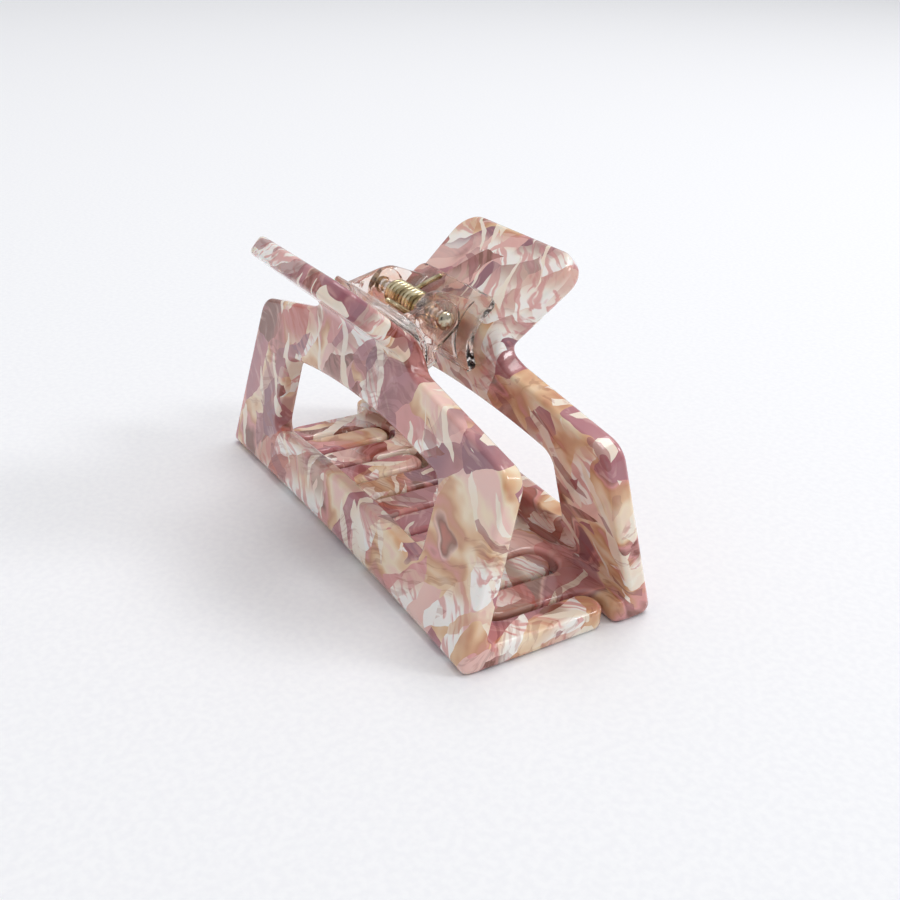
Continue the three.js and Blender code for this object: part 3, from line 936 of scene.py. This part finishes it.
@dataclass(frozen=True)
class Table:
    """Matt near-white table top."""

    light: tuple = tone(244, 245, 248)
    shade: tuple = tone(240, 241, 245)

    def material(self, name: str) -> bpy.types.Material:
        """Builds the finish on object coordinates."""
        n = NodeSheet(name)
        place = n.node("TexCoord").outputs["Object"]
        fibre = n.noise(n.turned(place, 0.0, (900.0, 900.0, 900.0)), 1.0, 2.0).outputs["Fac"]
        n.set("Base Color", n.blend(n.spread(fibre, 0.3, 0.7), self.light, self.shade))
        n.set("Roughness", n.spread(fibre, 0.2, 0.8, 0.7, 0.8))
        n.set("Specular IOR Level", 0.25)
        return n.material


DARK_CARD = Table(tone(40, 38, 40), tone(30, 29, 30))


# ---------------------------------------------------------------------------- jaws


@dataclass(frozen=True)
class JawOutline:
    """Sizes of a jaw's outline in its flat sheet, in millimetres.

    Heights are distances up the frame from the foot's corner; the handle's tip is the sheet's end.
    """

    foot_half: float = 43.9
    corner_half: float = 42.2
    corner_height: float = 30.5
    root_half: float = 14.8
    root_height: float = 35.4
    tip_half: float = 16.9
    strip_corner: float = 1.5
    top_corner: float = 3.6
    root_fillet: float = 4.5
    tip_corner: float = 4.4
    window_half: float = 27.2
    window_low: float = 9.7
    window_low_rise: float = 1.0
    window_high: float = 23.4
    window_high_rise: float = 2.3
    window_corner: float = 2.4
    tooth_pitch: float = 6.9
    tooth_width: float = 6.1
    tooth_tip: float = 2.85
    slot_end_out: float = 9.9
    slot_corner: float = 3.55
    arc_room: float = 0.2
    foot_point: float = 3.0
    edge: float = 0.85
    spacing: float = 0.45


class Jaw:
    """One bent acetate jaw with its teeth, window and handle."""

    def __init__(self, side: Side, teeth: int, end_tooth: tuple[float, float] | None, handle_shift: float,
                 section: JawSection, outline: JawOutline) -> None:
        """Keeps the jaw's sizes.

        Args:
            side: The jaw that is being made.
            teeth: How many regular teeth it has.
            end_tooth: The x span of a wide tooth at the front end, or nothing.
            handle_shift: How far the handle sits from the jaw's middle, along X.
            section: Sizes of the bent section.
            outline: Sizes of the flat outline.
        """
        self.side = side
        self.teeth = teeth
        self.end_tooth = end_tooth
        self.handle_shift = handle_shift
        self.section = section
        self.outline = outline
        self.bend = SheetBend(section, side)

    def tooth_spans(self) -> np.ndarray:
        """The x spans of the teeth, from the back end to the front end."""
        o = self.outline
        centre = (np.arange(self.teeth) - (self.teeth - 1) / 2) * 2 * o.tooth_pitch
        spans = np.stack([centre - o.tooth_width / 2, centre + o.tooth_width / 2], axis=1)
        return np.vstack([spans, self.end_tooth]) if self.end_tooth else spans

    def outer_loop(self) -> np.ndarray:
        """The sheet's closed outline: along the teeth, up one side, over the handle and down the other."""
        o, bend = self.outline, self.bend
        bottom = self.section.tooth_reach + o.slot_end_out
        spans = self.tooth_spans()
        left, right = spans[:, 0], spans[:, 1]
        root, end = np.full_like(left, bottom), np.zeros_like(left)
        turns = ((left, root), (left, end), (right, end), (right, root))
        comb = np.stack([np.stack(pair, axis=1) for pair in turns], axis=1)
        comb_radii = np.tile([o.slot_corner, o.tooth_tip, o.tooth_tip, o.slot_corner], (len(spans), 1))
        comb_radii[:, 1:3] = np.minimum(comb_radii[:, 1:3], (right - left)[:, None] / 2 - o.arc_room)
        gap = np.append(left[1:] - right[:-1], np.inf)
        comb_radii[:, 3] = np.minimum(o.slot_corner, gap / 2 - o.arc_room)
        comb_radii[1:, 0] = comb_radii[:-1, 3]
        comb, comb_radii = comb.reshape(-1, 2), comb_radii.ravel()
        if self.end_tooth:
            comb, comb_radii = comb[:-1], comb_radii[:-1]
        else:
            comb = np.vstack([comb, [o.foot_half, bottom]])
            comb_radii = np.append(comb_radii, o.strip_corner)
        top = np.array([
            [o.corner_half, bend.up_frame(o.corner_height)], [o.root_half, bend.up_frame(o.root_height)],
            [o.tip_half, bend.tip]])
        shift = np.array([[0.0, 0.0], [self.handle_shift, 0.0], [self.handle_shift, 0.0]])
        upper = np.vstack([top + shift, (top * [-1, 1] + shift)[::-1], [[-o.foot_half, bottom]]])
        upper_radii = np.array([o.top_corner, o.root_fillet, o.tip_corner, o.tip_corner, o.root_fillet,
                                o.top_corner, o.strip_corner])
        foot_line = np.array([[o.foot_half, bend.floor_end + o.foot_point]])
        corners = np.vstack([comb, foot_line, upper[:-1], foot_line * [-1, 1], upper[-1:]])
        radii = np.concatenate([comb_radii, [0.0], upper_radii[:-1], [0.0], upper_radii[-1:]])
        return evenly_spaced(rounded_corners(corners, radii), o.spacing)

    def window_loop(self) -> np.ndarray:
        """The window's closed loop, clockwise: sill and lintel arched as parabolas, upright ends."""
        o = self.outline
        x = np.linspace(-o.window_half, o.window_half, 25)
        arch = 1 - (x / o.window_half) ** 2
        low = self.bend.up_frame(o.window_low) + o.window_low_rise * arch
        high = self.bend.up_frame(o.window_high) + o.window_high_rise * arch
        corners = np.vstack([np.column_stack([x, high]), np.column_stack([x, low])[::-1]])
        radii = np.where(np.abs(corners[:, 0]) > o.window_half - 1e-6, o.window_corner, 0.0)
        return evenly_spaced(rounded_corners(corners, radii), o.spacing)

    def filling(self) -> np.ndarray:
        """Points over the sheet: rows close together in the two bends and wide apart on flat stretches."""
        bend = self.bend
        wide, close = 2.0, 0.3
        marks = [0.0, bend.floor_end, bend.foot_end, bend.fold_start, bend.fold_end, bend.tip]
        steps = [wide, close, wide, close, wide]
        rows = np.concatenate([
            np.arange(low, high, step) for low, high, step in zip(marks, marks[1:], steps)])
        columns = np.arange(-44.0, 44.0, 1.1)
        return np.stack(np.meshgrid(columns, rows), axis=2).reshape(-1, 2)

    def build(self) -> bpy.types.Object:
        """Makes the jaw's mesh."""
        plate = Plate(self.outer_loop(), (self.window_loop(),), 0.0, self.section.sheet,
                      self.outline.edge, self.filling())
        return plate.make(f"{self.side.name.lower()}_acetate_jaw", self.bend, SHEET_PLACE)

    def dress(self, made: bpy.types.Object) -> None:
        """Gives the jaw its finish and its body, and hides the CAD node that it stands for."""
        name = self.side.name.lower()
        made.data.materials.append(Acetate().material(f"acetate_{name}", SHEET_CUTS[self.side]))
        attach(made, f"{name}_jaw")
        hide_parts(f"jaw_{name}")


# ---------------------------------------------------------------------------- hinge


@dataclass(frozen=True)
class BracketSizes:
    """Sizes of a hinge bracket in millimetres."""

    clearance: float = 0.3
    base_thick: float = 1.5
    base_up: float = 6.6
    base_down: float = 6.6
    base_corner: float = 1.7
    edge: float = 0.38
    spacing: float = 0.35
    lug_thick: float = 1.5
    lug_edge: float = 0.3
    lug_spacing: float = 0.25
    root_low: float = 0.7
    root_high: float = 1.6
    bore_radius: float = 1.15
    boss_radius: float = 2.3
    boss_length: float = 1.1
    boss_root: float = 0.4
    boss_edge: float = 0.15


@dataclass(frozen=True)
class LugSizes:
    """Sizes of one bracket's two lugs in millimetres.

    Attributes:
        start: Distance of each lug's inner side from the bracket's middle.
        radius: Radius of each lug's round eye.
        toe: Corners of a lug's lower end in (out, z), from its root to its eye.
        boss: Whether the front lug has a boss toward the spring.
    """

    start: float
    radius: float
    toe: tuple[tuple[float, float], ...] = ()
    boss: bool = False


OUTER_LUGS = LugSizes(8.75, 3.15, toe=((3.5, 30.6), (0.9, 32.2), (1.4, 33.8)))
INNER_LUGS = LugSizes(6.85, 3.9, boss=True)


class Bracket:
    """One clear bracket: a saddle over the jaw's fold and two lugs round the pin."""

    def __init__(self, side: Side, section: JawSection, sizes: BracketSizes, lugs: LugSizes) -> None:
        """Keeps the bracket's sizes and takes its place from the CAD node and the hinge joint.

        Args:
            side: The jaw that carries the bracket.
            section: Sizes of the jaw's bent section.
            sizes: Sizes of the bracket.
            lugs: Sizes of its lugs.
        """
        self.side = side
        self.sizes = sizes
        self.lugs = lugs
        self.bend = SheetBend(section, side)
        low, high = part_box(f"bracket_{side.name.lower()}")
        self.left, self.right = low.x / MM, high.x / MM
        self.middle = (self.left + self.right) / 2
        self.pin_height = frame["joints"][0]["pos_m"][2] / MM
        self.under = section.sheet + sizes.clearance
        half_turn = math.tan(self.bend.fold_turn / 2)
        back_off, fold_reach = section.sheet * half_turn, section.fold_radius * half_turn
        self.lowest = self.bend.fold_start + fold_reach + back_off - sizes.base_down
        self.highest = self.bend.fold_end - fold_reach - back_off + sizes.base_up

    def saddle(self) -> bpy.types.Object:
        """The base: a rounded rectangle of plastic that follows the inside of the fold."""
        s = self.sizes
        corners = np.array([[self.left, self.lowest], [self.right, self.lowest],
                            [self.right, self.highest], [self.left, self.highest]])
        outline = evenly_spaced(rounded_corners(corners, np.full(4, s.base_corner)), s.spacing)
        rows = np.arange(self.lowest, self.highest, 0.3)
        columns = np.arange(self.left, self.right, 0.8)
        filling = np.stack(np.meshgrid(columns, rows), axis=2).reshape(-1, 2)
        plate = Plate(outline, (), self.under, self.under + s.base_thick, s.edge, filling)
        return plate.make("saddle", self.bend)

    def lug_loop(self) -> np.ndarray:
        """Side view of a lug in (out, z): its root inside the base, straight sides, a round eye and a toe.

        The sides touch the eye: the angle between the line from a side's start to the eye's centre and the
        radius at the touching point is arccos(radius / distance).
        """
        s = self.sizes
        along = np.linspace(self.lowest + s.root_low, self.highest - s.root_high, 30)
        depth = np.full_like(along, self.under + s.base_thick / 2)
        root = self.bend.carry(np.column_stack([np.zeros_like(along), along, depth]))[:, 1:]
        root *= [self.side.value, 1]
        centre = np.array([0.0, self.pin_height])
        toe, radius = np.array(self.lugs.toe).reshape(-1, 2), self.lugs.radius
        lower = toe[-1] if len(toe) else root[0]
        reach = np.array([lower, root[-1]]) - centre
        heading = np.arctan2(reach[:, 1], reach[:, 0])
        opening = np.arccos(radius / np.linalg.norm(reach, axis=1))
        top, bottom = heading[1] + opening[1], heading[0] - opening[0] + 2 * math.pi
        angle = np.linspace(top, bottom, 48)
        eye = centre + radius * np.column_stack([np.cos(angle), np.sin(angle)])
        return evenly_spaced(np.vstack([root, eye, toe[::-1]]), s.lug_spacing)

    def bored(self, name: str, outline: np.ndarray, start: float, end: float,
              edge: float) -> bpy.types.Object:
        """A plate across the pin, with the pin's bore through it.

        Args:
            name: The part's name.
            outline: Its side view in (out, z).
            start: The x of its first face.
            end: The x of its second face.
            edge: Radius of its softened edges.

        Returns:
            The plate.
        """
        bore = circle(self.sizes.bore_radius, (0.0, self.pin_height), 40)[::-1]
        return Plate(outline, (bore,), start, end, edge).make(name, Upright(self.side))

    def build(self) -> bpy.types.Object:
        """Makes the bracket as one closed body."""
        s = self.sizes
        front = self.middle + self.lugs.start
        back = self.middle - self.lugs.start - s.lug_thick
        side_view = self.lug_loop()
        parts = [self.saddle()]
        parts += [self.bored("lug", side_view, x, x + s.lug_thick, s.lug_edge) for x in (front, back)]
        if self.lugs.boss:
            ring = circle(s.boss_radius, (0.0, self.pin_height), 56)
            parts.append(self.bored("boss", ring, front - s.boss_length, front + s.boss_root, s.boss_edge))
        return joined(f"{self.side.name.lower()}_bracket_clear", parts)

    def dress(self, made: bpy.types.Object) -> None:
        """Gives the bracket its finish and its body, and hides the CAD node that it stands for."""
        name = self.side.name.lower()
        made.data.materials.clear()
        made.data.materials.append(ClearPlastic().material(f"clear_plastic_{name}"))
        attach(made, f"{name}_jaw")
        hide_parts(f"bracket_{name}")


@dataclass(frozen=True)
class HingePin:
    """The pin with a domed head in front and a flattened end behind, in millimetres."""

    radius: float = 1.0
    head_radius: float = 1.55
    head_rim: float = 0.2
    peen_radius: float = 1.45
    peen_height: float = 0.5
    peen_round: float = 0.35
    head_height: float = 1.0
    head_bevel: float = 0.06

    def build(self) -> bpy.types.Object:
        """Makes the pin: shank, peened end with a rounded rim, and a head that is part of an ellipse."""
        low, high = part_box("hinge_pin")
        back, front = low.x / MM, high.x / MM
        height = (low.z + high.z) / 2 / MM
        seat = front - self.head_height
        turn = np.linspace(0, math.pi / 2, 12)
        peen = np.column_stack([
            self.peen_radius - self.peen_round * (1 - np.sin(turn)),
            back + self.peen_round * (1 - np.cos(turn))])
        dome_height = self.head_height - self.head_rim
        dome = np.column_stack([
            self.head_radius * np.cos(turn), seat + self.head_rim + dome_height * np.sin(turn)])
        shank_start = back + self.peen_height
        profile = np.vstack([
            [[0.0, back]], [[self.peen_radius * 0.4, back]], peen, [[self.peen_radius, shank_start]],
            [[self.radius, shank_start]], [[self.radius, seat]], [[self.head_radius - self.head_bevel, seat]],
            [[self.head_radius, seat + self.head_bevel]], dome])
        made = revolved("hinge_pin_bronze", profile, height)
        made.data.set_sharp_from_angle(angle=math.radians(38))
        return made

    def dress(self, made: bpy.types.Object) -> None:
        """Gives the pin its finish and its body, and hides the CAD node that it stands for."""
        made.data.materials.append(PIN_METAL.material("bronze_pin"))
        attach(made, "near_jaw")
        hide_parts("hinge_pin")


@dataclass(frozen=True)
class TorsionSpring:
    """The coil round the pin and its two legs, in millimetres."""

    wire_radius: float = 0.45
    coil_radius: float = 1.95
    turns: int = 9
    leg_reach: float = 6.95
    leg_angle: float = math.radians(35.5)
    near_lean: float = -0.3
    far_lean: float = 2.5

    def ends(self) -> tuple[float, float]:
        """The coil's first and last x, at the wire's centre."""
        low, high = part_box("spring")
        return high.x / MM - self.wire_radius, low.x / MM + self.wire_radius

    def path(self) -> np.ndarray:
        """Centre line of the wire.

        Each leg touches the underside of the coil and rises evenly to its bracket's base, leaning along the
        pin with the square of its reach. The touching point lies at the leg's angle from the lowest point.
        Between the two the wire is a helix: x goes evenly from one end to the other as the angle round the
        pin grows.

        Returns:
            Points from the near jaw's leg, at the front end, to the far jaw's leg at the back.
        """
        low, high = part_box("hinge_pin")
        axis = (low.z + high.z) / 2 / MM
        start, end = self.ends()
        touch = self.coil_radius * math.sin(self.leg_angle)
        bottom = axis - self.coil_radius * math.cos(self.leg_angle)
        t = np.linspace(1, 0, 40, endpoint=False)[:, None]
        run = (self.leg_reach - touch) * t
        rise = bottom + run * math.tan(self.leg_angle)
        near = np.hstack([start + self.near_lean * t ** 2, -touch - run, rise])
        far = np.hstack([end + self.far_lean * t ** 2, touch + run, rise])[::-1]
        share = np.linspace(0, 1, self.turns * 56)
        sweep = 2 * math.pi * self.turns + 2 * self.leg_angle
        angle = -math.pi / 2 - self.leg_angle + sweep * share
        coil = np.column_stack([
            start + (end - start) * share, self.coil_radius * np.cos(angle),
            axis + self.coil_radius * np.sin(angle)])
        return np.vstack([near, coil, far])

    def build(self) -> bpy.types.Object:
        """Makes the spring."""
        return tube("torsion_spring_brass", self.path(), self.wire_radius)

    def dress(self, made: bpy.types.Object) -> None:
        """Gives the spring its finish, bakes its transform into the mesh and hides the CAD node that it
        stands for.
        """
        made.data.materials.append(SPRING_METAL.material("brass_wire"))
        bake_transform(made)
        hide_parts("spring")


# ---------------------------------------------------------------------------- studio


@dataclass(frozen=True)
class Studio:
    """Table, soft lights and camera."""

    floor_half: float = 3.0
    card_half: tuple[float, float] = (0.05, 0.07)
    card_gap: float = 0.35
    camera_place: tuple[float, float, float] = (0.148387, -0.084310, 0.096132)
    heading: float = 2.5906
    dip: float = 0.4530
    roll: float = 0.0279
    lens: float = 44.0

    def aimed(self, made: bpy.types.Object, place: Vector) -> None:
        """Puts a thing at a place, facing the middle of the clip, and links it to the scene."""
        low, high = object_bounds()
        made.location = place
        made.rotation_euler = ((low + high) / 2 - place).to_track_quat("-Z", "Y").to_euler()
        bpy.context.scene.collection.objects.link(made)

    def card(self, name: str, half: tuple[float, float], finish: Table) -> bpy.types.Object:
        """A flat rectangular card.

        Args:
            name: The card's name.
            half: Half its width and half its height.
            finish: Its finish.

        Returns:
            The card, not yet linked to the scene.
        """
        x, y = half
        mesh = bpy.data.meshes.new(name)
        mesh.from_pydata([(-x, -y, 0), (x, -y, 0), (x, y, 0), (-x, y, 0)], [], [(0, 1, 2, 3)])
        mesh.materials.append(finish.material(f"{name}_finish"))
        return bpy.data.objects.new(name, mesh)

    def table_top(self) -> None:
        """Adds the table top at height zero and flags it as a backdrop."""
        made = self.card("table_top", (self.floor_half, self.floor_half), Table())
        bpy.context.scene.collection.objects.link(made)
        made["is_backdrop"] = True

    def dark_card(self) -> None:
        """Adds a small dark card behind the camera, seen only as a dark patch in polished faces."""
        made = self.card("dark_card", self.card_half, DARK_CARD)
        low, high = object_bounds()
        place = Vector(self.camera_place)
        self.aimed(made, place - ((low + high) / 2 - place) * self.card_gap)
        made.visible_camera = False
        made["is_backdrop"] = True

    def lamp(self, name: str, place: tuple[float, float, float], size: float, power: float,
             colour: tuple[float, float, float]) -> None:
        """Adds one square soft light aimed at the middle of the clip.

        Args:
            name: The light's name.
            place: Where it hangs.
            size: Length of its side.
            power: Its power in watts.
            colour: Its colour.
        """
        data = bpy.data.lights.new(name, "AREA")
        data.shape, data.size, data.energy, data.color = "SQUARE", size, power, colour
        self.aimed(bpy.data.objects.new(name, data), Vector(place))

    def sky(self) -> None:
        """Adds soft light from all round, brighter from above."""
        world = bpy.data.worlds.new("soft_room")
        bpy.context.scene.world = world
        world.use_nodes = True
        tree = world.node_tree
        shine = tree.nodes["Background"]
        place = tree.nodes.new("ShaderNodeTexCoord")
        split = tree.nodes.new("ShaderNodeSeparateXYZ")
        ramp = tree.nodes.new("ShaderNodeValToRGB")
        tree.links.new(place.outputs["Generated"], split.inputs[0])
        tree.links.new(split.outputs["Z"], ramp.inputs[0])
        tree.links.new(ramp.outputs[0], shine.inputs["Color"])
        low, high = ramp.color_ramp.elements
        low.position, low.color = 0.0, (0.62, 0.63, 0.66, 1)
        high.position, high.color = 0.8, (1, 1, 1, 1)
        shine.inputs["Strength"].default_value = 0.66

    def camera(self) -> None:
        """Adds the camera: heading, dip below level and roll about its own line of sight."""
        look = Vector((math.cos(self.heading) * math.cos(self.dip),
                       math.sin(self.heading) * math.cos(self.dip), -math.sin(self.dip)))
        right = look.cross(Vector((0, 0, 1))).normalized()
        up = right.cross(look)
        level_right = right * math.cos(self.roll) + up * math.sin(self.roll)
        level_up = up * math.cos(self.roll) - right * math.sin(self.roll)
        data = bpy.data.cameras.new("studio_camera")
        data.lens, data.sensor_width, data.clip_start, data.clip_end = self.lens, 36.0, 0.005, 50.0
        made = bpy.data.objects.new("studio_camera", data)
        turn = Matrix((level_right, level_up, -look)).transposed().to_4x4()
        made.matrix_world = Matrix.Translation(self.camera_place) @ turn
        bpy.context.scene.collection.objects.link(made)
        bpy.context.scene.camera = made

    def build(self) -> None:
        """Sets up the whole studio."""
        self.table_top()
        self.dark_card()
        self.sky()
        self.lamp("overhead_softbox", (-0.25, 0.55, 1.9), 1.1, 15.0, (1.0, 0.995, 0.985))
        self.lamp("window_light", (0.55, 0.75, 0.75), 0.3, 3.0, (1.0, 1.0, 1.0))
        self.camera()
        bpy.context.scene.view_settings.view_transform = "Standard"


# ---------------------------------------------------------------------------- assembly


def main() -> None:
    """Builds the clip piece by piece, then the studio."""
    logging.basicConfig(level=logging.INFO, format="%(message)s")
    section, outline, sizes = JawSection(), JawOutline(), BracketSizes()
    makers = [
        Jaw(Side.NEAR, 5, (38.35, 43.7), -4.0, section, outline),
        Jaw(Side.FAR, 6, None, 0.0, section, outline),
        Bracket(Side.NEAR, section, sizes, OUTER_LUGS),
        Bracket(Side.FAR, section, sizes, INNER_LUGS),
        HingePin(),
        TorsionSpring(),
    ]
    for maker in makers:
        made = maker.build()
        maker.dress(made)
        LOG.info("%s: %d vertices, %d faces", made.name, len(made.data.vertices), len(made.data.polygons))
    Studio().build()


if __name__ == "__main__":
    main()
